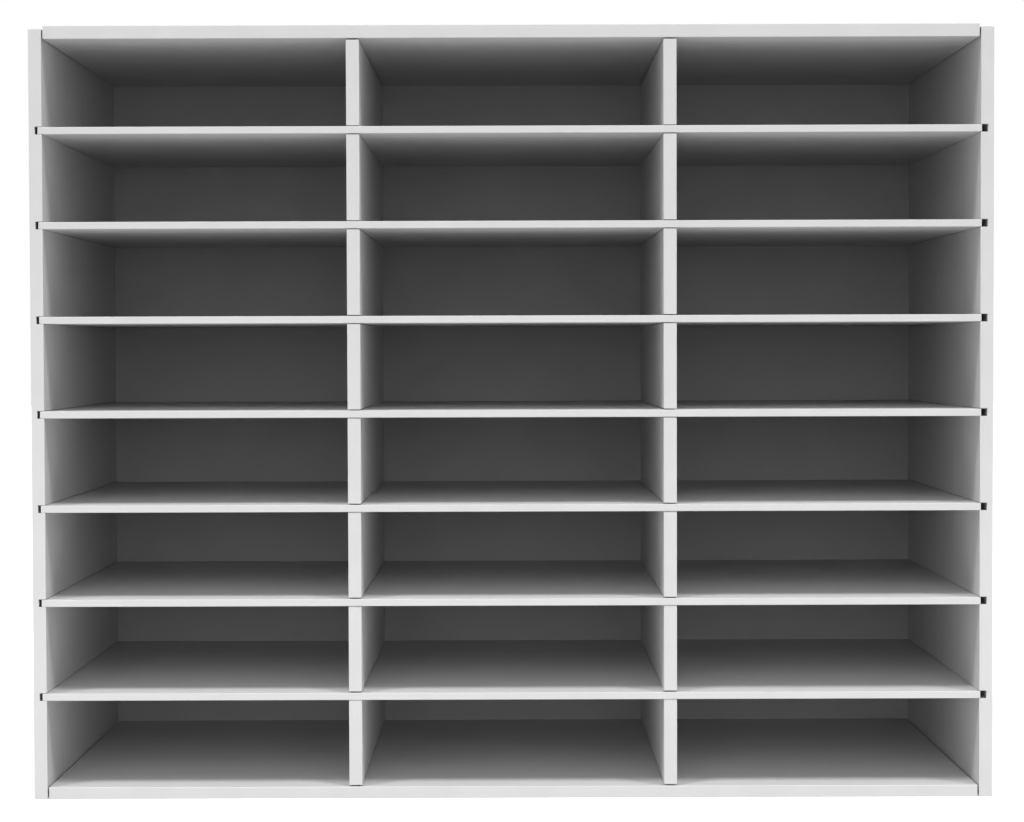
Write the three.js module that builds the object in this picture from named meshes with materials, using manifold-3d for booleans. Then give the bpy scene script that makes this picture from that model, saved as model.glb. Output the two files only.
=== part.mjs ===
// A pigeonhole mail sorter: a laminated case, upright dividers and thin shelves.
// Each shelf crosses the dividers in half-laps and slides out of grooves at the open front.
// X runs across the case, -Y is the open front and +Z is up. All sizes are in millimetres.
// The origin is the middle of the underside.

import * as THREE from 'three';
import { mergeVertices } from 'three/addons/utils/BufferGeometryUtils.js';
import Module from 'manifold-3d';

const wasm = await Module();
wasm.setup();

// Pigeonholes
const columnCount = 3;
const rowCount = 8;
const cellWidth = 232;
const cellHeight = 66.8;
const caseDepth = 305; // front edges to the outside of the back panel

// Boards
const sideThickness = 10;
const topThickness = 10;
const bottomThickness = 9;
const dividerThickness = 10;
const shelfThickness = 5.5;
const backThickness = 3;
const topRise = 2.3; // the top panel stands above the ends of the side panels
const backReveal = 1; // the back panel stops short of the outer faces
const dividerSetback = 0.5; // divider fronts lie behind the shelf fronts

// Joints between the boards
const capEndGap = 1.1; // each end of the top and bottom panels to its side panel
const dividerEndGap = 1; // each end of a divider to the panel that it meets
const grooveDepth = 5.5; // shelf grooves in the side panels
const grooveHeadroom = 0.25; // above a shelf in its grooves
const grooveFootroom = 0.1; // and below it
const shelfEngagement = 2.1; // shelf ends in their grooves
const shelfShift = 1.2; // the shelves lie a little to the left in their grooves
const shelfBackGap = 0.5; // shelf to the back panel
const lapClearance = 0.4; // fore-and-aft and sideways where a shelf and a divider cross
const notchClearance = 0.55; // above and below a shelf in a divider notch
const notchDrop = 0.05; // the top notch lies this much below its shelf
const notchCreep = 0.075; // the notches lie closer together than the shelves, by this much at each row

// Screws through the side panels into the ends of the top and bottom panels
const screwRadius = 1.5;
const screwLength = 35;
const screwTipLength = 4;
const screwTipRadius = 0.6;
const screwHeadRadius = 3;
const screwHeadHeight = 1.8;
const screwHeadRim = 0.3;
const screwInset = 45; // from the front and back edges of the boards

// Dowels between boards that meet at right angles
const dowelRadius = 2.5;
const dowelLength = 24;
const dowelChamfer = 0.8;
const dowelInFace = 6.5; // length in the board whose face is drilled
const dividerDowelInset = 60; // from the front and back edges of a divider

// Nails that hold the back panel
const nailRadius = 0.8;
const nailLength = 18;
const nailTipLength = 2.5;
const nailTipRadius = 0.25;
const nailHeadRadius = 2.2;
const nailHeadHeight = 0.8;
const sideNailCount = 4; // up each side panel

// Drilling
const boreClearance = 0.15; // radial, around every fastener
const boreEndGap = 0.5; // past the end of every fastener
const cutOvershoot = 1; // cutters run past the face that they open
const fastenerFacets = 8;

// Sizes of the whole case
const innerWidth = columnCount * cellWidth + (columnCount - 1) * dividerThickness;
const innerHeight = rowCount * cellHeight + (rowCount - 1) * shelfThickness;
const caseWidth = innerWidth + 2 * sideThickness;
const caseHeight = innerHeight + topThickness + bottomThickness;
const sideHeight = caseHeight - topRise;
const frontY = -caseDepth / 2;
const outerBackY = caseDepth / 2;
const innerBackY = outerBackY - backThickness;
const lapY = (frontY + innerBackY) / 2; // shelf notches end and divider notches begin here

const columnPitch = cellWidth + dividerThickness;
const rowPitch = cellHeight + shelfThickness;
const firstCellX = -innerWidth / 2 + cellWidth / 2;
const cellCentreX = (column) => firstCellX + column * columnPitch;
const cellCentreZ = (row) => caseHeight - topThickness - cellHeight / 2 - row * rowPitch;
const dividerCentreX = (divider) => cellCentreX(divider) + columnPitch / 2;
const shelfCentreZ = (shelf) => cellCentreZ(shelf) - rowPitch / 2;
const notchCentreZ = (shelf) => shelfCentreZ(shelf) - notchDrop + shelf * notchCreep;

const dividers = Array.from({ length: columnCount - 1 }, (_, index) => index);
const shelves = Array.from({ length: rowCount - 1 }, (_, index) => index);
const sides = [
  { name: 'left', outward: -1 },
  { name: 'right', outward: 1 },
];
const caps = [
  { name: 'top', low: caseHeight - topThickness, high: caseHeight, outward: 1 },
  { name: 'bottom', low: 0, high: bottomThickness, outward: -1 },
];

const laminate = new THREE.MeshStandardMaterial({ color: 0xdcdcdc, roughness: 0.45, metalness: 0 });
const shelfBoard = new THREE.MeshStandardMaterial({ color: 0xd8d8d8, roughness: 0.5, metalness: 0 });
const hardboard = new THREE.MeshStandardMaterial({ color: 0xb4b4b4, roughness: 0.7, metalness: 0 });
const beech = new THREE.MeshStandardMaterial({ color: 0xc8a273, roughness: 0.75, metalness: 0 });
const zincSteel = new THREE.MeshStandardMaterial({ color: 0xb9bcc0, roughness: 0.35, metalness: 1 });

const sorter = new THREE.Group();

function addPart(name, geometry, material) {
  const mesh = new THREE.Mesh(geometry, material);
  mesh.name = name;
  sorter.add(mesh);
  return mesh;
}

// Closed geometry to a solid that can be joined and cut
function solidOf(geometry) {
  const bare = geometry.clone();
  bare.deleteAttribute('normal');
  bare.deleteAttribute('uv');
  const merged = mergeVertices(bare);
  return new wasm.Manifold(new wasm.Mesh({
    numProp: 3,
    vertProperties: Float32Array.from(merged.attributes.position.array),
    triVerts: Uint32Array.from(merged.index.array),
  }));
}

// A cut solid back to geometry
function geometryOf(solid) {
  const mesh = solid.getMesh();
  const geometry = new THREE.BufferGeometry();
  geometry.setAttribute('position', new THREE.BufferAttribute(mesh.vertProperties, 3));
  geometry.setIndex(new THREE.BufferAttribute(mesh.triVerts, 1));
  const faceted = geometry.toNonIndexed();
  faceted.computeVertexNormals();
  return faceted;
}

// A box between two corners
function block([lowX, lowY, lowZ], [highX, highY, highZ]) {
  const box = new THREE.BoxGeometry(highX - lowX, highY - lowY, highZ - lowZ);
  return box.translate((lowX + highX) / 2, (lowY + highY) / 2, (lowZ + highZ) / 2);
}

// A turned piece along Y, from radius and height pairs that start and end on the axis
function turned(profile) {
  const points = profile.map(([radius, height]) => new THREE.Vector2(radius, height));
  return new THREE.LatheGeometry(points, fastenerFacets);
}

// Turns a piece made along Y so that its +Y end points along the given axis
function pointed(geometry, axis) {
  const turn = new THREE.Quaternion().setFromUnitVectors(new THREE.Vector3(0, 1, 0), axis);
  return geometry.clone().applyQuaternion(turn);
}

// Numbers from 0 to last, evenly spread
function spread(count, last) {
  return Array.from({ length: count }, (_, index) => Math.round((index * last) / Math.max(count - 1, 1)));
}

// Fasteners, each with the cutter for its bore; the head or one end is at +Y

function screwShape(grow, tipGap) {
  const head = screwHeadRadius + grow;
  const neck = screwRadius + grow;
  const above = grow > 0 ? cutOvershoot : 0;
  return turned([
    [0, -screwLength - tipGap],
    [screwTipRadius + grow, -screwLength - tipGap],
    [neck, -screwLength + screwTipLength],
    [neck, -screwHeadHeight],
    [head, -screwHeadRim],
    [head, above],
    [0, above],
  ]);
}

function dowelShape(grow, endGap) {
  const half = dowelLength / 2 + endGap;
  const radius = dowelRadius + grow;
  return turned([
    [0, -half],
    [radius - dowelChamfer, -half],
    [radius, -half + dowelChamfer],
    [radius, half - dowelChamfer],
    [radius - dowelChamfer, half],
    [0, half],
  ]);
}

function nailShape(grow, tipGap) {
  const head = nailHeadRadius + grow;
  const shank = nailRadius + grow;
  const above = grow > 0 ? cutOvershoot : 0;
  return turned([
    [0, -nailLength - tipGap],
    [nailTipRadius + grow, -nailLength - tipGap],
    [shank, -nailLength + nailTipLength],
    [shank, -nailHeadHeight],
    [head, -nailHeadHeight],
    [head, above],
    [0, above],
  ]);
}

const fasteners = [];

function addFastener(name, shape, axis, place, material) {
  const piece = pointed(shape(0, 0), axis).translate(...place);
  const cutter = pointed(shape(boreClearance, boreEndGap), axis).translate(...place);
  fasteners.push({ name, piece, cutter, material });
}

// Screws and dowels that hold the case together
for (const side of sides) {
  const outward = new THREE.Vector3(side.outward, 0, 0);
  const outerX = side.outward * (caseWidth / 2);
  const dowelX = side.outward * (innerWidth / 2 + dowelInFace - dowelLength / 2);
  for (const cap of caps) {
    const jointZ = (cap.low + Math.min(cap.high, sideHeight)) / 2; // middle of what the boards share
    const corner = `${side.name}_${cap.name}`;
    const frontPlace = [outerX, frontY + screwInset, jointZ];
    const rearPlace = [outerX, innerBackY - screwInset, jointZ];
    addFastener(`${corner}_front_screw`, screwShape, outward, frontPlace, zincSteel);
    addFastener(`${corner}_rear_screw`, screwShape, outward, rearPlace, zincSteel);
    addFastener(`${corner}_dowel`, dowelShape, outward, [dowelX, lapY, jointZ], beech);
  }
}

// Dowels that stand the dividers on the bottom panel and hold them under the top panel
for (const divider of dividers) {
  const x = dividerCentreX(divider);
  for (const cap of caps) {
    const meetingZ = cap.outward > 0 ? cap.low : cap.high;
    const z = meetingZ + cap.outward * (dowelInFace - dowelLength / 2);
    const outward = new THREE.Vector3(0, 0, cap.outward);
    const name = `divider_${divider + 1}_${cap.name}`;
    const frontPlace = [x, frontY + dividerSetback + dividerDowelInset, z];
    const rearPlace = [x, innerBackY - dividerDowelInset, z];
    addFastener(`${name}_front_dowel`, dowelShape, outward, frontPlace, beech);
    addFastener(`${name}_rear_dowel`, dowelShape, outward, rearPlace, beech);
  }
}

// Nails through the back panel, at half height of a row or in the middle of a column
const rearward = new THREE.Vector3(0, 1, 0);
const nailRows = spread(sideNailCount, rowCount - 1);
for (const side of sides) {
  const x = side.outward * (caseWidth / 2 - sideThickness / 2);
  for (const row of nailRows) {
    const place = [x, outerBackY, cellCentreZ(row)];
    addFastener(`back_nail_${side.name}_row_${row + 1}`, nailShape, rearward, place, zincSteel);
  }
}
for (const divider of dividers) {
  for (const row of nailRows.slice(1, -1)) {
    const place = [dividerCentreX(divider), outerBackY, cellCentreZ(row)];
    addFastener(`back_nail_divider_${divider + 1}_row_${row + 1}`, nailShape, rearward, place, zincSteel);
  }
}
for (const cap of caps) {
  const z = (cap.low + Math.min(cap.high, sideHeight - backReveal)) / 2;
  for (let column = 0; column < columnCount; column += 1) {
    const place = [cellCentreX(column), outerBackY, z];
    addFastener(`back_nail_${cap.name}_column_${column + 1}`, nailShape, rearward, place, zincSteel);
  }
}

const fastenerBores = wasm.Manifold.union(fasteners.map((fastener) => solidOf(fastener.cutter)));

// Board with the bores of every fastener that enters it
function drilled(solid) {
  return geometryOf(solid.subtract(fastenerBores));
}

// Side panels, grooved for the shelves right through from front to back
for (const side of sides) {
  const innerX = side.outward * (innerWidth / 2);
  const outerX = side.outward * (caseWidth / 2);
  const lowX = Math.min(innerX, outerX);
  const highX = Math.max(innerX, outerX);
  let panel = solidOf(block([lowX, frontY, 0], [highX, innerBackY, sideHeight]));
  for (const shelf of shelves) {
    const mouthX = innerX - side.outward * cutOvershoot;
    const floorX = innerX + side.outward * grooveDepth;
    const lowZ = shelfCentreZ(shelf) - shelfThickness / 2 - grooveFootroom;
    const highZ = shelfCentreZ(shelf) + shelfThickness / 2 + grooveHeadroom;
    panel = panel.subtract(solidOf(block(
      [Math.min(mouthX, floorX), frontY - cutOvershoot, lowZ],
      [Math.max(mouthX, floorX), innerBackY + cutOvershoot, highZ],
    )));
  }
  addPart(`${side.name}_side_panel`, drilled(panel), laminate);
}

// Top and bottom panels between the side panels
for (const cap of caps) {
  const halfLength = innerWidth / 2 - capEndGap;
  const panel = block([-halfLength, frontY, cap.low], [halfLength, innerBackY, cap.high]);
  addPart(`${cap.name}_panel`, drilled(solidOf(panel)), laminate);
}

// Back panel over the rear edges of the case
const backHalfWidth = caseWidth / 2 - backReveal;
const backSheet = block(
  [-backHalfWidth, innerBackY, backReveal],
  [backHalfWidth, outerBackY, sideHeight - backReveal],
);
addPart('back_panel', drilled(solidOf(backSheet)), hardboard);

// Dividers, notched from the front for each shelf
for (const divider of dividers) {
  const x = dividerCentreX(divider);
  const half = dividerThickness / 2;
  const dividerFrontY = frontY + dividerSetback;
  const low = bottomThickness + dividerEndGap;
  const high = caseHeight - topThickness - dividerEndGap;
  let board = solidOf(block([x - half, dividerFrontY, low], [x + half, innerBackY, high]));
  for (const shelf of shelves) {
    const halfHeight = shelfThickness / 2 + notchClearance;
    const z = notchCentreZ(shelf);
    board = board.subtract(solidOf(block(
      [x - half - cutOvershoot, dividerFrontY - cutOvershoot, z - halfHeight],
      [x + half + cutOvershoot, lapY + lapClearance, z + halfHeight],
    )));
  }
  addPart(`divider_${divider + 1}`, drilled(board), laminate);
}

// Shelves, notched from the back for each divider
for (const shelf of shelves) {
  const z = shelfCentreZ(shelf);
  const half = shelfThickness / 2;
  const reach = innerWidth / 2 + shelfEngagement;
  const rearY = innerBackY - shelfBackGap;
  let board = solidOf(block(
    [-reach - shelfShift, frontY, z - half],
    [reach - shelfShift, rearY, z + half],
  ));
  for (const divider of dividers) {
    const x = dividerCentreX(divider);
    const halfNotch = dividerThickness / 2 + lapClearance;
    board = board.subtract(solidOf(block(
      [x - halfNotch, lapY, z - half - cutOvershoot],
      [x + halfNotch, rearY + cutOvershoot, z + half + cutOvershoot],
    )));
  }
  addPart(`shelf_${shelf + 1}`, geometryOf(board), shelfBoard);
}

for (const fastener of fasteners) {
  addPart(fastener.name, fastener.piece, fastener.material);
}

export default sorter;
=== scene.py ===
from math import atan, cos, pi, radians, sin, tan

import bmesh
import bpy
from mathutils import Matrix, Vector


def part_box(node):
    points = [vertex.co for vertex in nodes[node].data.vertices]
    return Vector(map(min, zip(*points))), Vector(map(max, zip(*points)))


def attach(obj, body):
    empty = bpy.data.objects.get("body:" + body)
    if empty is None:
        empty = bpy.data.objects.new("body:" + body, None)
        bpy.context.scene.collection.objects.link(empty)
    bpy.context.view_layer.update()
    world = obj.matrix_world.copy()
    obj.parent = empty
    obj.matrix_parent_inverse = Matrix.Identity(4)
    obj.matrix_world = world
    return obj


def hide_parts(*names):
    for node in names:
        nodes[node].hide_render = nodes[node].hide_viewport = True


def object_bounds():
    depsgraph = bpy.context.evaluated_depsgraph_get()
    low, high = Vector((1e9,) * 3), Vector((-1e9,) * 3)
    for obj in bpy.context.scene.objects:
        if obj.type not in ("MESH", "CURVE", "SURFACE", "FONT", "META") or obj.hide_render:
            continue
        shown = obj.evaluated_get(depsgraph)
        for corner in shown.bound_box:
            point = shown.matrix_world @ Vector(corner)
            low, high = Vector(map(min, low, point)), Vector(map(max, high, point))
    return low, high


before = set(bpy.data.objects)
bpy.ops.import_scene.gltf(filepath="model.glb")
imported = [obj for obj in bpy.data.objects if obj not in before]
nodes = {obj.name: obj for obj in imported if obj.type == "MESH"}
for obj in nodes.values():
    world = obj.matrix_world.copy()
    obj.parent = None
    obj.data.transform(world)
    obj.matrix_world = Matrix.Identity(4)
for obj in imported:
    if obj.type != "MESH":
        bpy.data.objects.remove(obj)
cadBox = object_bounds()
mm = 0.001  # the frame is in metres


# Colour and node helpers

def linear(hexColour):  # sRGB hex to linear RGBA
    channels = [int(hexColour[i:i + 2], 16) / 255 for i in (1, 3, 5)]
    return tuple(c / 12.92 if c < 0.04045 else ((c + 0.055) / 1.055) ** 2.4 for c in channels) + (1.0,)


def addNode(tree, kind, settings=None, links=None):
    node = tree.nodes.new(kind)
    for key, value in (settings or {}).items():
        if isinstance(key, int) or key in node.inputs:
            node.inputs[key].default_value = value
        else:
            setattr(node, key, value)
    for key, source in (links or {}).items():
        tree.links.new(source, node.inputs[key])
    return node


def perMetre(sizeInMm):  # texture scale that makes one feature about this long
    return 1.0 / (sizeInMm * mm)


def newMaterial(name):
    material = bpy.data.materials.new(name)
    material.use_nodes = True
    material.node_tree.nodes.clear()
    return material, material.node_tree


def closeMaterial(tree, shader):
    addNode(tree, "ShaderNodeOutputMaterial", links={"Surface": shader.outputs[0]})


# Melamine laminate: paper under clear resin, pressed against a steel plate with a fine pearl.
# It gives an even light grey with a satin sheen that breaks up very slightly.
def melamineLaminate(name, paleHex, darkHex, grainAxis):
    material, tree = newMaterial(name)
    place = addNode(tree, "ShaderNodeTexCoord")
    pressLines = 0.06  # they run along the board, stretched by the inverse of this
    stretch = [1.0, 1.0, 1.0]
    stretch[grainAxis] = pressLines
    along = addNode(tree, "ShaderNodeMapping", {"Scale": stretch}, {"Vector": place.outputs["Object"]})
    streaks = addNode(tree, "ShaderNodeTexNoise", {"Scale": perMetre(9), "Detail": 3.0},
                      {"Vector": along.outputs[0]})
    clouds = addNode(tree, "ShaderNodeTexNoise", {"Scale": perMetre(140), "Detail": 2.0},
                     {"Vector": place.outputs["Object"]})
    both = addNode(tree, "ShaderNodeMath", {"operation": "ADD"},
                   {0: streaks.outputs[0], 1: clouds.outputs[0]})
    level = addNode(tree, "ShaderNodeMapRange", {"From Min": 0.7, "From Max": 1.3},
                    {"Value": both.outputs[0]})
    tone = addNode(tree, "ShaderNodeMix", {"data_type": "RGBA", 6: linear(darkHex), 7: linear(paleHex)},
                   {0: level.outputs[0]})
    pearl = addNode(tree, "ShaderNodeTexNoise", {"Scale": perMetre(1.6), "Detail": 2.0},
                    {"Vector": place.outputs["Object"]})  # real pearl is 0.4 mm, too fine to show
    gloss = addNode(tree, "ShaderNodeMapRange", {"To Min": 0.42, "To Max": 0.54},
                    {"Value": pearl.outputs[0]})
    relief = addNode(tree, "ShaderNodeBump", {"Strength": 0.12, "Distance": 0.05 * mm},
                     {"Height": pearl.outputs[0]})
    shader = addNode(tree, "ShaderNodeBsdfPrincipled", {"IOR": 1.5, "Specular IOR Level": 0.3},
                     {"Base Color": tone.outputs[2], "Roughness": gloss.outputs[0],
                      "Normal": relief.outputs[0]})
    closeMaterial(tree, shader)
    return material


# ABS edge band: extruded strip glued on the front edges, about the same grey, smoother than the faces
def absEdgeBand():
    material, tree = newMaterial("ABS edge band")
    place = addNode(tree, "ShaderNodeTexCoord")
    mottle = addNode(tree, "ShaderNodeTexNoise", {"Scale": perMetre(30), "Detail": 3.0},
                     {"Vector": place.outputs["Object"]})
    level = addNode(tree, "ShaderNodeMapRange", {"From Min": 0.35, "From Max": 0.65},
                    {"Value": mottle.outputs[0]})
    tone = addNode(tree, "ShaderNodeMix", {"data_type": "RGBA", 6: linear("#cfcfcf"), 7: linear("#d2d2d2")},
                   {0: level.outputs[0]})
    scuff = addNode(tree, "ShaderNodeTexNoise", {"Scale": perMetre(2.5), "Detail": 2.0},
                    {"Vector": place.outputs["Object"]})
    gloss = addNode(tree, "ShaderNodeMapRange", {"To Min": 0.36, "To Max": 0.5},
                    {"Value": scuff.outputs[0]})
    relief = addNode(tree, "ShaderNodeBump", {"Strength": 0.1, "Distance": 0.05 * mm},
                     {"Height": scuff.outputs[0]})
    shader = addNode(tree, "ShaderNodeBsdfPrincipled", {"IOR": 1.52, "Specular IOR Level": 0.35},
                     {"Base Color": tone.outputs[2], "Roughness": gloss.outputs[0],
                      "Normal": relief.outputs[0]})
    closeMaterial(tree, shader)
    return material


# Raw fibreboard: a greyish tan felt of fine wood fibre with darker specks. Its copy on the sawn
# ends of the boards is darker, and its copy in the routed grooves is paler as painted light in the grooves'
# shade
def rawFibreboard(name, paleHex, darkHex):
    material, tree = newMaterial(name)
    place = addNode(tree, "ShaderNodeTexCoord")
    fibre = addNode(tree, "ShaderNodeTexNoise", {"Scale": perMetre(1.8), "Detail": 6.0, "Roughness": 0.7},
                    {"Vector": place.outputs["Object"]})
    level = addNode(tree, "ShaderNodeMapRange", {"From Min": 0.3, "From Max": 0.7},
                    {"Value": fibre.outputs[0]})
    tone = addNode(tree, "ShaderNodeMix", {"data_type": "RGBA", 6: linear(darkHex), 7: linear(paleHex)},
                   {0: level.outputs[0]})
    relief = addNode(tree, "ShaderNodeBump", {"Strength": 0.4, "Distance": 0.15 * mm},
                     {"Height": fibre.outputs[0]})
    shader = addNode(tree, "ShaderNodeBsdfPrincipled", {"Roughness": 0.9, "Specular IOR Level": 0.15},
                     {"Base Color": tone.outputs[2], "Normal": relief.outputs[0]})
    closeMaterial(tree, shader)
    return material


# Lacquered hardboard: the inner face of the back, a thin grey coat over pressed fibre, nearly matt. Its
# grey is set darker than the laminate as painted shade deep in the pigeonholes.
def lacqueredHardboardShadeGrey():
    material, tree = newMaterial("Lacquered hardboard")
    place = addNode(tree, "ShaderNodeTexCoord")
    coat = addNode(tree, "ShaderNodeTexNoise", {"Scale": perMetre(45), "Detail": 4.0},
                   {"Vector": place.outputs["Object"]})
    level = addNode(tree, "ShaderNodeMapRange", {"From Min": 0.35, "From Max": 0.65},
                    {"Value": coat.outputs[0]})
    # painted shade: a darker grey than the laminate, for the shade at the back of the pigeonholes
    tone = addNode(tree, "ShaderNodeMix", {"data_type": "RGBA", 6: linear("#b2b2b2"), 7: linear("#b7b7b7")},
                   {0: level.outputs[0]})
    fibre = addNode(tree, "ShaderNodeTexNoise", {"Scale": perMetre(2.5), "Detail": 4.0},
                    {"Vector": place.outputs["Object"]})
    relief = addNode(tree, "ShaderNodeBump", {"Strength": 0.15, "Distance": 0.08 * mm},
                     {"Height": fibre.outputs[0]})
    shader = addNode(tree, "ShaderNodeBsdfPrincipled", {"Roughness": 0.75, "Specular IOR Level": 0.15},
                     {"Base Color": tone.outputs[2], "Normal": relief.outputs[0]})
    closeMaterial(tree, shader)
    return material


# Bare hardboard: the outside of the back, brown pressed fibre with flecks and a faint screen pattern
def bareHardboard():
    material, tree = newMaterial("Bare hardboard")
    place = addNode(tree, "ShaderNodeTexCoord")
    flecks = addNode(tree, "ShaderNodeTexNoise", {"Scale": perMetre(5), "Detail": 8.0, "Roughness": 0.75},
                     {"Vector": place.outputs["Object"]})
    level = addNode(tree, "ShaderNodeMapRange", {"From Min": 0.3, "From Max": 0.7},
                    {"Value": flecks.outputs[0]})
    tone = addNode(tree, "ShaderNodeMix", {"data_type": "RGBA", 6: linear("#6f5236"), 7: linear("#94714d")},
                   {0: level.outputs[0]})
    screen = addNode(tree, "ShaderNodeTexVoronoi", {"Scale": perMetre(2.2), "Randomness": 0.35},
                     {"Vector": place.outputs["Object"]})
    relief = addNode(tree, "ShaderNodeBump", {"Strength": 0.35, "Distance": 0.12 * mm},
                     {"Height": screen.outputs["Distance"]})
    shader = addNode(tree, "ShaderNodeBsdfPrincipled", {"Roughness": 0.72, "Specular IOR Level": 0.3},
                     {"Base Color": tone.outputs[2], "Normal": relief.outputs[0]})
    closeMaterial(tree, shader)
    return material


# Zinc-plated steel: bright bluish grey with a fine uneven plate
def zincSteel():
    material, tree = newMaterial("Zinc plated steel")
    place = addNode(tree, "ShaderNodeTexCoord")
    plate = addNode(tree, "ShaderNodeTexNoise", {"Scale": perMetre(0.8), "Detail": 3.0},
                    {"Vector": place.outputs["Object"]})
    gloss = addNode(tree, "ShaderNodeMapRange", {"To Min": 0.25, "To Max": 0.45},
                    {"Value": plate.outputs[0]})
    tone = addNode(tree, "ShaderNodeMix", {"data_type": "RGBA", 6: linear("#a9adb2"), 7: linear("#c3c6c9")},
                   {0: plate.outputs[0]})
    shader = addNode(tree, "ShaderNodeBsdfPrincipled", {"Metallic": 1.0},
                     {"Base Color": tone.outputs[2], "Roughness": gloss.outputs[0]})
    closeMaterial(tree, shader)
    return material


# Turned beech: the dowels, pinkish tan with short ray flecks
def turnedBeech():
    material, tree = newMaterial("Turned beech")
    place = addNode(tree, "ShaderNodeTexCoord")
    grain = addNode(tree, "ShaderNodeTexNoise", {"Scale": perMetre(1.2), "Detail": 4.0},
                    {"Vector": place.outputs["Object"]})
    tone = addNode(tree, "ShaderNodeMix", {"data_type": "RGBA", 6: linear("#b98a5c"), 7: linear("#d3ac7f")},
                   {0: grain.outputs[0]})
    shader = addNode(tree, "ShaderNodeBsdfPrincipled", {"Roughness": 0.7, "Specular IOR Level": 0.25},
                     {"Base Color": tone.outputs[2]})
    closeMaterial(tree, shader)
    return material


acrossX, acrossY, acrossZ = 0, 1, 2
uprightLaminate = melamineLaminate("Melamine laminate upright", "#d2d2d2", "#cccccc", acrossZ)
levelLaminate = melamineLaminate("Melamine laminate level", "#d2d2d2", "#cccccc", acrossX)
edgeBand = absEdgeBand()
sawnCore = rawFibreboard("Sawn fibreboard", "#8d867c", "#6f6961")
# painted light: this copy is paler so that the shaded grooves of the side panels read lighter
routedCorePaintedLight = rawFibreboard("Routed fibreboard", "#cbc7c0", "#b4b0a9")
backInsidePaintedShade = lacqueredHardboardShadeGrey()
backOutside = bareHardboard()
zinc = zincSteel()
beech = turnedBeech()
print("materials made")


# Boards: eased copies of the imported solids, with the front edge band as a strip of its own

board = {
    "easeWidth": 0.45 * mm,   # rounding of the outer edges
    "easeSteps": 3,
    "easeAngle": 60.0,        # edges sharper than this are eased, in degrees
    "squareShare": 0.999,     # part of a normal along one axis, on a face that lies square
    "bandDepth": 1.0 * mm,    # edge band at the front
    "skinDepth": 0.7 * mm,    # faces this close to an outer face of the board are skin
    "boreReach": 4.0 * mm,    # no bore is wider than this from its axis
    "boreCuts": 3,            # new corners on each facet of a bore
    "ringSlack": 0.005 * mm,
    "mergeSlack": 0.002 * mm,
    "splitSlack": 0.001 * mm,
    "bandSlack": 0.0001 * mm,
    "flatAngle": 1.0,         # facets flatter than this are one face, in degrees
}


def isFastener(name):
    return name.endswith("_screw") or name.endswith("_dowel") or name.startswith("back_nail")


def longAxis(sides):
    return max((acrossX, acrossY, acrossZ), key=lambda axis: sides[axis])


def boresIn(nodeName):  # the boxes and axes of the fasteners that enter a board
    low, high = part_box(nodeName)
    bores = []
    for name in filter(isFastener, sorted(nodes)):
        start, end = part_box(name)
        if all(start[axis] < high[axis] and end[axis] > low[axis] for axis in (acrossX, acrossY, acrossZ)):
            bores.append((start, end, longAxis(end - start)))
    return bores


# Flat faces are split through the middles of their bores, square to the long edges of the board,
# so that no seam runs along an edge that is to be eased
def splitAtBores(bm, nodeName, bores):
    low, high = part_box(nodeName)
    for start, end, axis in bores:
        sides = high - low
        sides[axis] = 0
        normal = Vector((0, 0, 0))
        normal[longAxis(sides)] = 1
        cut = bmesh.ops.bisect_plane(bm, geom=bm.verts[:] + bm.edges[:] + bm.faces[:],
                                     dist=board["splitSlack"], plane_co=(start + end) / 2, plane_no=normal)
        for item in cut["geom_cut"]:
            if isinstance(item, bmesh.types.BMEdge):
                item.seam = True


def roundBore(bm, start, end, axis):  # more facets, pushed out to the circle
    middle = (start + end) / 2
    reach = board["boreReach"]
    slack = board["ringSlack"]

    def fromAxis(vert):
        offset = vert.co - middle
        offset[axis] = 0
        return offset.length

    def isNear(vert):
        return fromAxis(vert) < reach and start[axis] - reach < vert.co[axis] < end[axis] + reach

    def isOnRing(edge):  # level, with both ends as far from the axis
        first, second = edge.verts
        radius = fromAxis(first)
        level = abs(first.co[axis] - second.co[axis]) < slack
        return level and abs(radius - fromAxis(second)) < slack and edge.calc_length() < radius

    rings = [edge for edge in bm.edges if all(isNear(vert) for vert in edge.verts) and isOnRing(edge)]
    radii = {round(fromAxis(vert) / slack) * slack for edge in rings for vert in edge.verts}
    made = bmesh.ops.subdivide_edges(bm, edges=rings, cuts=board["boreCuts"], use_grid_fill=True)
    for item in made["geom_inner"]:
        if isinstance(item, bmesh.types.BMVert):
            distance = fromAxis(item)
            radius = min(size for size in radii if size > distance)
            place = item.co - middle
            along = place[axis]
            place *= radius / distance
            place[axis] = along
            item.co = middle + place


def cleanCopy(nodeName):
    bm = bmesh.new()
    bm.from_mesh(nodes[nodeName].data)
    bmesh.ops.remove_doubles(bm, verts=bm.verts[:], dist=board["mergeSlack"])
    bores = boresIn(nodeName)
    splitAtBores(bm, nodeName, bores)
    bmesh.ops.dissolve_limit(bm, angle_limit=radians(board["flatAngle"]), verts=bm.verts[:],
                             edges=bm.edges[:], delimit={"SEAM"})
    for start, end, axis in bores:
        roundBore(bm, start, end, axis)
    return bm


def isSquare(face):  # faces along the axes, not the walls of bores
    return max(abs(part) for part in face.normal) > board["squareShare"]


def easeEdges(bm):
    sharp = radians(board["easeAngle"])
    edges = [edge for edge in bm.edges if len(edge.link_faces) == 2 and edge.is_convex
             and edge.calc_face_angle() > sharp and all(isSquare(face) for face in edge.link_faces)]
    made = bmesh.ops.bevel(bm, geom=edges, offset=board["easeWidth"], offset_type="OFFSET", affect="EDGES",
                           segments=board["easeSteps"], profile=0.5, material=-1, clamp_overlap=True)
    for face in made["faces"]:
        face.smooth = not isSquare(face)


def cutAt(bm, bandY, keepFront):
    bmesh.ops.bisect_plane(bm, geom=bm.verts[:] + bm.edges[:] + bm.faces[:], dist=board["bandSlack"],
                           plane_co=(0, bandY, 0), plane_no=(0, 1, 0),
                           clear_inner=not keepFront, clear_outer=keepFront)
    openEdges = [edge for edge in bm.edges if len(edge.link_faces) == 1]
    bmesh.ops.edgenet_fill(bm, edges=openEdges)


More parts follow.
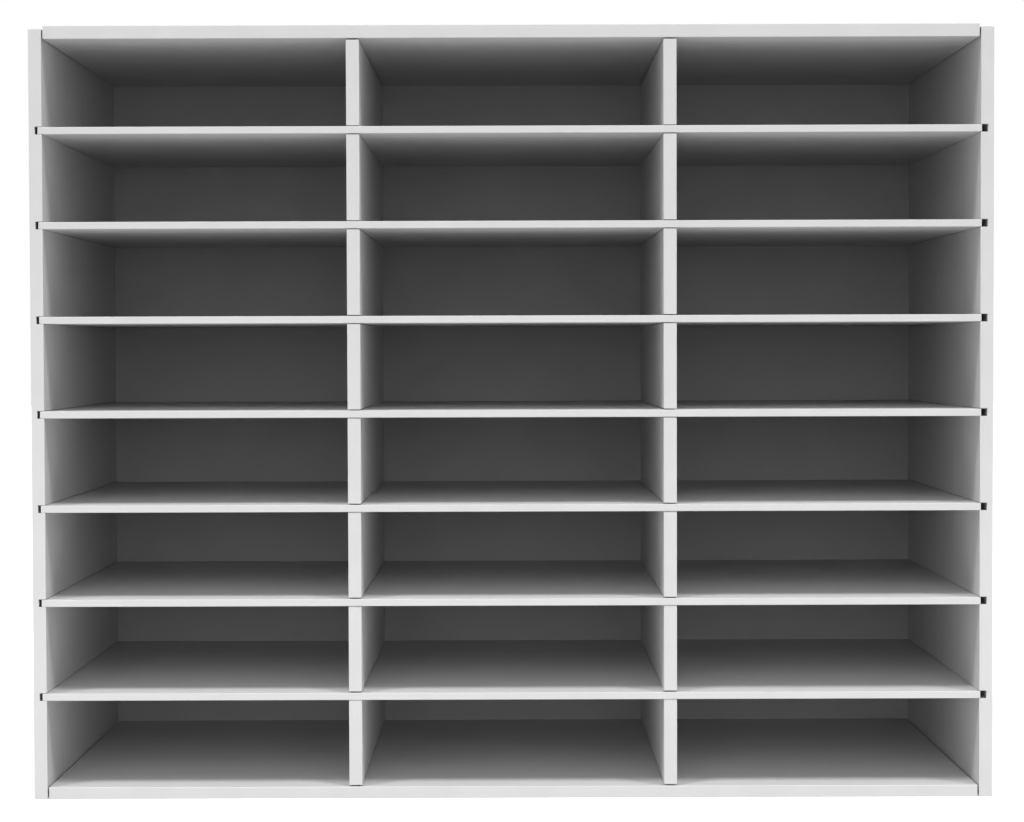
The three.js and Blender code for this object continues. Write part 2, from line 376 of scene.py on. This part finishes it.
def finishPiece(bm, name, materials, body, replaced=()):
    mesh = bpy.data.meshes.new(name)
    bmesh.ops.recalc_face_normals(bm, faces=bm.faces[:])
    bm.to_mesh(mesh)
    bm.free()
    for material in materials:
        mesh.materials.append(material)
    piece = bpy.data.objects.new(name, mesh)
    bpy.context.scene.collection.objects.link(piece)
    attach(piece, body)
    if replaced:
        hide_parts(*replaced)


def makeBoard(nodeName, body, skin, core, skinAxes):
    low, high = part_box(nodeName)
    bandY = low.y + board["bandDepth"]

    def isSkin(face):  # on one of the outer faces across the named axes
        middle = face.calc_center_median()
        return any(min(middle[axis] - low[axis], high[axis] - middle[axis]) < board["skinDepth"]
                   for axis in skinAxes)

    for keepFront in (True, False):
        bm = cleanCopy(nodeName)
        easeEdges(bm)
        cutAt(bm, bandY, keepFront)
        if keepFront:
            finishPiece(bm, nodeName + "_edge_band", [edgeBand], body)
            continue
        for face in bm.faces:
            face.material_index = 0 if isSkin(face) else 1
        finishPiece(bm, nodeName + "_board", [skin, core], body, [nodeName])


sideNames = ["left_side_panel", "right_side_panel"]
capNames = ["top_panel", "bottom_panel"]
dividerNames = sorted(name for name in nodes if name.startswith("divider_") and not isFastener(name))
shelfNames = sorted(name for name in nodes if name.startswith("shelf_"))
for side in sideNames:
    makeBoard(side, "case", uprightLaminate, routedCorePaintedLight, (acrossX, acrossZ))
for cap in capNames:
    makeBoard(cap, "case", levelLaminate, sawnCore, (acrossZ,))
for divider in dividerNames:
    makeBoard(divider, "case", uprightLaminate, sawnCore, (acrossX,))
for shelf in shelfNames:
    makeBoard(shelf, shelf, levelLaminate, sawnCore, (acrossZ,))
print("boards made:", len(sideNames + capNames + dividerNames + shelfNames))


def makeBackPanel():
    low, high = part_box("back_panel")
    bm = cleanCopy("back_panel")
    easeEdges(bm)
    for face in bm.faces:
        isInside = face.calc_center_median().y < low.y + board["easeWidth"]
        face.material_index = 0 if isInside else 1
    finishPiece(bm, "back_panel_sheet", [backInsidePaintedShade, backOutside], "case", ["back_panel"])


makeBackPanel()
print("back made")


# Fasteners: made upright with the head at the origin and pointing up, then turned to their place

turning = {
    "steps": 32,              # facets round a turned piece
    "sharpAngle": 30.0,       # edges sharper than this stay crisp, in degrees
    "mergeSlack": 0.001 * mm,
}


def spun(profile):  # a turned piece about Z from radius and height pairs
    bm = bmesh.new()
    line = [bm.verts.new((radius, 0, height)) for radius, height in profile]
    edges = [bm.edges.new(pair) for pair in zip(line, line[1:])]
    bmesh.ops.spin(bm, geom=line + edges, axis=(0, 0, 1), cent=(0, 0, 0), angle=2 * pi,
                   steps=turning["steps"], use_merge=True, use_normal_flip=False)
    bmesh.ops.remove_doubles(bm, verts=bm.verts[:], dist=turning["mergeSlack"])
    bmesh.ops.recalc_face_normals(bm, faces=bm.faces[:])
    return bm


def smoothCurves(bm):  # facets that meet at a small angle shade as one curve
    for face in bm.faces:
        face.smooth = True
    for edge in bm.edges:
        edge.smooth = edge.calc_face_angle() < radians(turning["sharpAngle"])


def turnTo(bm, direction, place):
    turn = Vector((0, 0, 1)).rotation_difference(direction).to_matrix().to_4x4()
    bmesh.ops.transform(bm, matrix=Matrix.Translation(place) @ turn, verts=bm.verts[:])


screw = {
    "pointLength": 4.0 * mm,
    "bluntRadius": 0.5 * mm,  # of the very tip
    "bluntHeight": 0.4 * mm,
    "neckRadius": 1.5 * mm,
    "headHeight": 1.8 * mm,   # down to the end of the countersink
    "rimHeight": 0.3 * mm,
    "rimEaseHeight": 0.1 * mm,
    "rimEaseWidth": 0.12 * mm,
    "crossLength": 3.4 * mm,
    "crossWidth": 0.9 * mm,
    "crossDepth": 1.0 * mm,
    "crossTaper": 0.7,        # size of the recess at its floor
    "cutSlack": 0.00001 * mm,
    "topSlack": 0.01 * mm,
    "topShare": 0.99,         # upward part of a normal on the flat top
}


def isTop(face):
    return face.normal.z > screw["topShare"] and face.calc_center_median().z > -screw["topSlack"]


def cutCross(bm):  # driver recess in the flat top of a screw head
    halfLength = screw["crossLength"] / 2
    halfWidth = screw["crossWidth"] / 2
    for axis in (acrossX, acrossY):
        for offset in (-halfLength, -halfWidth, halfWidth, halfLength):
            top = [face for face in bm.faces if isTop(face)]
            verts = [vert for vert in bm.verts if any(isTop(face) for face in vert.link_faces)]
            edges = [edge for edge in bm.edges if any(isTop(face) for face in edge.link_faces)]
            normal = [0, 0, 0]
            normal[axis] = 1
            point = [0, 0, 0]
            point[axis] = offset
            bmesh.ops.bisect_plane(bm, geom=verts + edges + top, dist=screw["cutSlack"],
                                   plane_co=point, plane_no=normal)

    def isInCross(face):
        middle = face.calc_center_median()
        wide, tall = abs(middle.x), abs(middle.y)
        return (wide < halfWidth and tall < halfLength) or (tall < halfWidth and wide < halfLength)

    floor = [face for face in bm.faces if isTop(face) and isInCross(face)]
    pushed = bmesh.ops.extrude_face_region(bm, geom=floor)
    bmesh.ops.delete(bm, geom=floor, context="FACES")
    sunk = [item for item in pushed["geom"] if isinstance(item, bmesh.types.BMVert)]
    bmesh.ops.translate(bm, vec=(0, 0, -screw["crossDepth"]), verts=sunk)
    bmesh.ops.scale(bm, vec=(screw["crossTaper"], screw["crossTaper"], 1), verts=sunk)


def makeScrew(nodeName):
    low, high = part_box(nodeName)
    length = high.x - low.x
    headRadius = (high.z - low.z) / 2
    outward = -1 if low.x < 0 else 1
    place = (low + high) / 2
    place.x = low.x if outward < 0 else high.x
    bm = spun([
        (0, -length),
        (screw["bluntRadius"], -length + screw["bluntHeight"]),
        (screw["neckRadius"], -length + screw["pointLength"]),
        (screw["neckRadius"], -screw["headHeight"]),
        (headRadius, -screw["rimHeight"]),
        (headRadius, -screw["rimEaseHeight"]),
        (headRadius - screw["rimEaseWidth"], 0),
        (0, 0),
    ])
    bmesh.ops.dissolve_faces(bm, faces=[face for face in bm.faces if isTop(face)])
    cutCross(bm)
    smoothCurves(bm)
    turnTo(bm, Vector((outward, 0, 0)), place)
    finishPiece(bm, nodeName + "_turned", [zinc], "case", [nodeName])


nail = {
    "pointLength": 2.5 * mm,
    "shankRadius": 0.8 * mm,
    "headHeight": 0.8 * mm,
    "underEaseWidth": 0.1 * mm,
    "rimLow": 0.5 * mm,       # the straight rim, measured down from the top of the dome
    "rimHigh": 0.25 * mm,
    "domeWidth": 0.25 * mm,
    "domeHeight": 0.1 * mm,
    "domeFlat": 0.6,          # middle of the dome, as a share of the head's radius
}


def makeNail(nodeName):
    low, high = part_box(nodeName)
    length = high.y - low.y
    headRadius = (high.z - low.z) / 2
    place = (low + high) / 2
    place.y = high.y
    bm = spun([
        (0, -length),
        (nail["shankRadius"], -length + nail["pointLength"]),
        (nail["shankRadius"], -nail["headHeight"]),
        (headRadius - nail["underEaseWidth"], -nail["headHeight"]),
        (headRadius, -nail["rimLow"]),
        (headRadius, -nail["rimHigh"]),
        (headRadius - nail["domeWidth"], -nail["domeHeight"]),
        (headRadius * nail["domeFlat"], 0),
        (0, 0),
    ])
    smoothCurves(bm)
    turnTo(bm, Vector((0, 1, 0)), place)
    finishPiece(bm, nodeName + "_turned", [zinc], "case", [nodeName])


dowel = {
    "flutes": 24,
    "fluteDepth": 0.25 * mm,
    "chamfer": 0.4 * mm,
    "chamferSteps": 2,
}


def makeDowel(nodeName):
    low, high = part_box(nodeName)
    axis = longAxis(high - low)
    length = high[axis] - low[axis]
    radius = (high.y - low.y) / 2
    bm = bmesh.new()
    made = bmesh.ops.create_circle(bm, cap_ends=True, radius=radius, segments=2 * dowel["flutes"])
    inner = [vert for index, vert in enumerate(made["verts"]) if index % 2]
    shrink = 1 - dowel["fluteDepth"] / radius
    bmesh.ops.scale(bm, vec=(shrink, shrink, 1), verts=inner)
    ends = bm.faces[:]
    pushed = bmesh.ops.extrude_face_region(bm, geom=ends, use_keep_orig=True)
    far = [item for item in pushed["geom"] if isinstance(item, bmesh.types.BMVert)]
    bmesh.ops.translate(bm, vec=(0, 0, length), verts=far)
    rims = [edge for edge in bm.edges if any(len(face.verts) > 4 for face in edge.link_faces)]
    bmesh.ops.bevel(bm, geom=rims, offset=dowel["chamfer"], affect="EDGES", segments=dowel["chamferSteps"],
                    profile=0.5, material=-1, clamp_overlap=True)
    direction = Vector((0, 0, 0))
    direction[axis] = 1
    place = (low + high) / 2
    place[axis] = low[axis]
    turnTo(bm, direction, place)
    finishPiece(bm, nodeName + "_turned", [beech], "case", [nodeName])


for name in sorted(nodes):
    if name.endswith("_screw"):
        makeScrew(name)
    elif name.startswith("back_nail"):
        makeNail(name)
    elif name.endswith("_dowel"):
        makeDowel(name)
print("fasteners made")


# Floor, light and camera

stage = {
    "floorSize": 24.0,      # metres
    "floorCells": 8,
    "seenFloorHex": "#fafafa",   # the floor as the camera sees it
    "seenFloorGlow": 0.14,
    # painted light: how strongly the floor glows towards the sorter, by distance from it
    "paintedFloorGlow": ((0.0, 0.8), (0.1, 0.85), (0.27, 1.35), (0.6, 0.75), (1.2, 0.22), (2.2, 0.3), (3.6, 0.65),
               (5.0, 0.65)),  # metres from the sorter, level
    "keyTurn": 54.0,        # degrees to each side of the front
    "keyProfile": 69.5,     # degrees up, in a view from the side
    "keyStrength": 1.33,
    "keySpread": 14.0,      # degrees across
    "air": ((0.0, 0.68), (12.0, 0.68), (26.0, 0.6), (42.0, 0.5), (90.0, 0.5)),  # degrees up, level
    "boxRise": 8.0,         # a wide soft box in front, this many degrees up
    "box": ((0.0, 1.1), (24.0, 1.1), (38.0, 0.0), (180.0, 0.0)),  # degrees from its middle, level
}


def levelAlong(tree, source, stops):  # a grey level that changes evenly from stop to stop
    reach = stops[-1][0]
    peak = max(level for place, level in stops)
    share = addNode(tree, "ShaderNodeMath", {"operation": "DIVIDE", 1: reach, "use_clamp": True},
                    {0: source})
    ramp = addNode(tree, "ShaderNodeValToRGB", links={"Fac": share.outputs[0]})
    elements = ramp.color_ramp.elements
    elements.remove(elements[0])
    elements[0].position = 1.0
    for place, level in stops[:-1]:
        elements.new(place / reach)
    for element, (place, level) in zip(elements, stops):
        element.color = (level / peak, level / peak, level / peak, 1.0)
    return addNode(tree, "ShaderNodeMath", {"operation": "MULTIPLY", 1: peak}, {0: ramp.outputs["Color"]})


def seenDirectly(tree):  # 1 for rays from the camera, and for what metal and gloss reflect
    ray = addNode(tree, "ShaderNodeLightPath")
    mirrored = addNode(tree, "ShaderNodeMath", {"operation": "MAXIMUM"},
                       {0: ray.outputs["Is Glossy Ray"], 1: ray.outputs["Is Transmission Ray"]})
    return addNode(tree, "ShaderNodeMath", {"operation": "MAXIMUM"},
                   {0: ray.outputs["Is Camera Ray"], 1: mirrored.outputs[0]})


# The camera sees a matt white floor with the sorter's shadow. For all other rays the floor glows as painted
# light in place of what it would reflect, a pool brightest a little in front of the sorter that changes
# with distance.
def makeFloor():
    bm = bmesh.new()
    bmesh.ops.create_grid(bm, x_segments=stage["floorCells"], y_segments=stage["floorCells"],
                          size=stage["floorSize"] / 2)
    mesh = bpy.data.meshes.new("floor")
    bm.to_mesh(mesh)
    bm.free()
    material, tree = newMaterial("Matt white floor")
    place = addNode(tree, "ShaderNodeTexCoord")
    folded = addNode(tree, "ShaderNodeVectorMath", {"operation": "ABSOLUTE"}, {0: place.outputs["Object"]})
    footprint = (cadBox[1][0], cadBox[1][1], 0)
    beyond = addNode(tree, "ShaderNodeVectorMath", {"operation": "SUBTRACT", 1: footprint},
                     {0: folded.outputs[0]})
    outside = addNode(tree, "ShaderNodeVectorMath", {"operation": "MAXIMUM", 1: (0, 0, 0)},
                      {0: beyond.outputs[0]})
    away = addNode(tree, "ShaderNodeVectorMath", {"operation": "LENGTH"}, {0: outside.outputs[0]})
    level = levelAlong(tree, away.outputs["Value"], stage["paintedFloorGlow"])
    # painted light: the floor glows towards the sorter instead of reflecting the lamps
    paintedFloorGlow = addNode(tree, "ShaderNodeEmission", links={"Strength": level.outputs[0]})
    matt = addNode(tree, "ShaderNodeBsdfDiffuse", {"Color": linear(stage["seenFloorHex"])})
    glow = addNode(tree, "ShaderNodeEmission", {"Strength": stage["seenFloorGlow"]})
    lit = addNode(tree, "ShaderNodeAddShader", links={0: matt.outputs[0], 1: glow.outputs[0]})
    shader = addNode(tree, "ShaderNodeMixShader",
                     links={0: seenDirectly(tree).outputs[0], 1: paintedFloorGlow.outputs[0], 2: lit.outputs[0]})
    closeMaterial(tree, shader)
    mesh.materials.append(material)
    floor = bpy.data.objects.new("floor", mesh)
    bpy.context.scene.collection.objects.link(floor)


def makeLights():
    turn = radians(stage["keyTurn"])
    height = atan(tan(radians(stage["keyProfile"])) * cos(turn))
    for sideSign in (-1, 1):
        lamp = bpy.data.lights.new("key", "SUN")
        lamp.energy = stage["keyStrength"]
        lamp.angle = radians(stage["keySpread"])
        source = Vector((sideSign * sin(turn) * cos(height), -cos(turn) * cos(height), sin(height)))
        holder = bpy.data.objects.new("key", lamp)
        holder.rotation_euler = source.to_track_quat("Z", "Y").to_euler()
        bpy.context.scene.collection.objects.link(holder)


def makeWorld():
    world = bpy.data.worlds.new("studio")
    bpy.context.scene.world = world
    world.use_nodes = True
    tree = world.node_tree
    tree.nodes.clear()
    place = addNode(tree, "ShaderNodeTexCoord")
    parts = addNode(tree, "ShaderNodeSeparateXYZ", links={0: place.outputs["Generated"]})
    rise = addNode(tree, "ShaderNodeMath", {"operation": "ARCSINE"}, {0: parts.outputs["Z"]})
    angle = addNode(tree, "ShaderNodeMath", {"operation": "DEGREES"}, {0: rise.outputs[0]})
    air = levelAlong(tree, angle.outputs[0], stage["air"])
    boxRise = radians(stage["boxRise"])
    boxMiddle = (0, -cos(boxRise), sin(boxRise))
    near = addNode(tree, "ShaderNodeVectorMath", {"operation": "DOT_PRODUCT", 1: boxMiddle},
                   {0: place.outputs["Generated"]})
    apart = addNode(tree, "ShaderNodeMath", {"operation": "ARCCOSINE"}, {0: near.outputs["Value"]})
    off = addNode(tree, "ShaderNodeMath", {"operation": "DEGREES"}, {0: apart.outputs[0]})
    box = levelAlong(tree, off.outputs[0], stage["box"])
    both = addNode(tree, "ShaderNodeMath", {"operation": "ADD"}, {0: air.outputs[0], 1: box.outputs[0]})
    level = addNode(tree, "ShaderNodeMix", {"data_type": "FLOAT", 3: 1.0},
                    {0: seenDirectly(tree).outputs[0], 2: both.outputs[0]})
    glow = addNode(tree, "ShaderNodeBackground", {"Color": (1, 1, 1, 1)}, {"Strength": level.outputs[0]})
    addNode(tree, "ShaderNodeOutputWorld", links={"Surface": glow.outputs[0]})


view = {
    "distance": 1.665,      # metres from the eye to the front edges
    "height": 0.3443,
    "tilt": 1.61,           # degrees down
    "roll": 0.17,           # the picture's lines rise a little to the right
    "lens": 76.55,          # with the sensor, in mm
    "sensor": 36.0,
    "reach": 100.0,
}


def makeCamera():
    camera = bpy.data.cameras.new("view")
    camera.lens = view["lens"]
    camera.sensor_width = view["sensor"]
    camera.clip_end = view["reach"]
    holder = bpy.data.objects.new("view", camera)
    holder.location = (0, cadBox[0][1] - view["distance"], view["height"])
    holder.rotation_euler = (radians(90 - view["tilt"]), radians(view["roll"]), 0)
    bpy.context.scene.collection.objects.link(holder)
    bpy.context.scene.camera = holder


makeFloor()
makeLights()
makeWorld()
makeCamera()
bpy.context.scene.view_settings.view_transform = "Standard"
print("stage made")
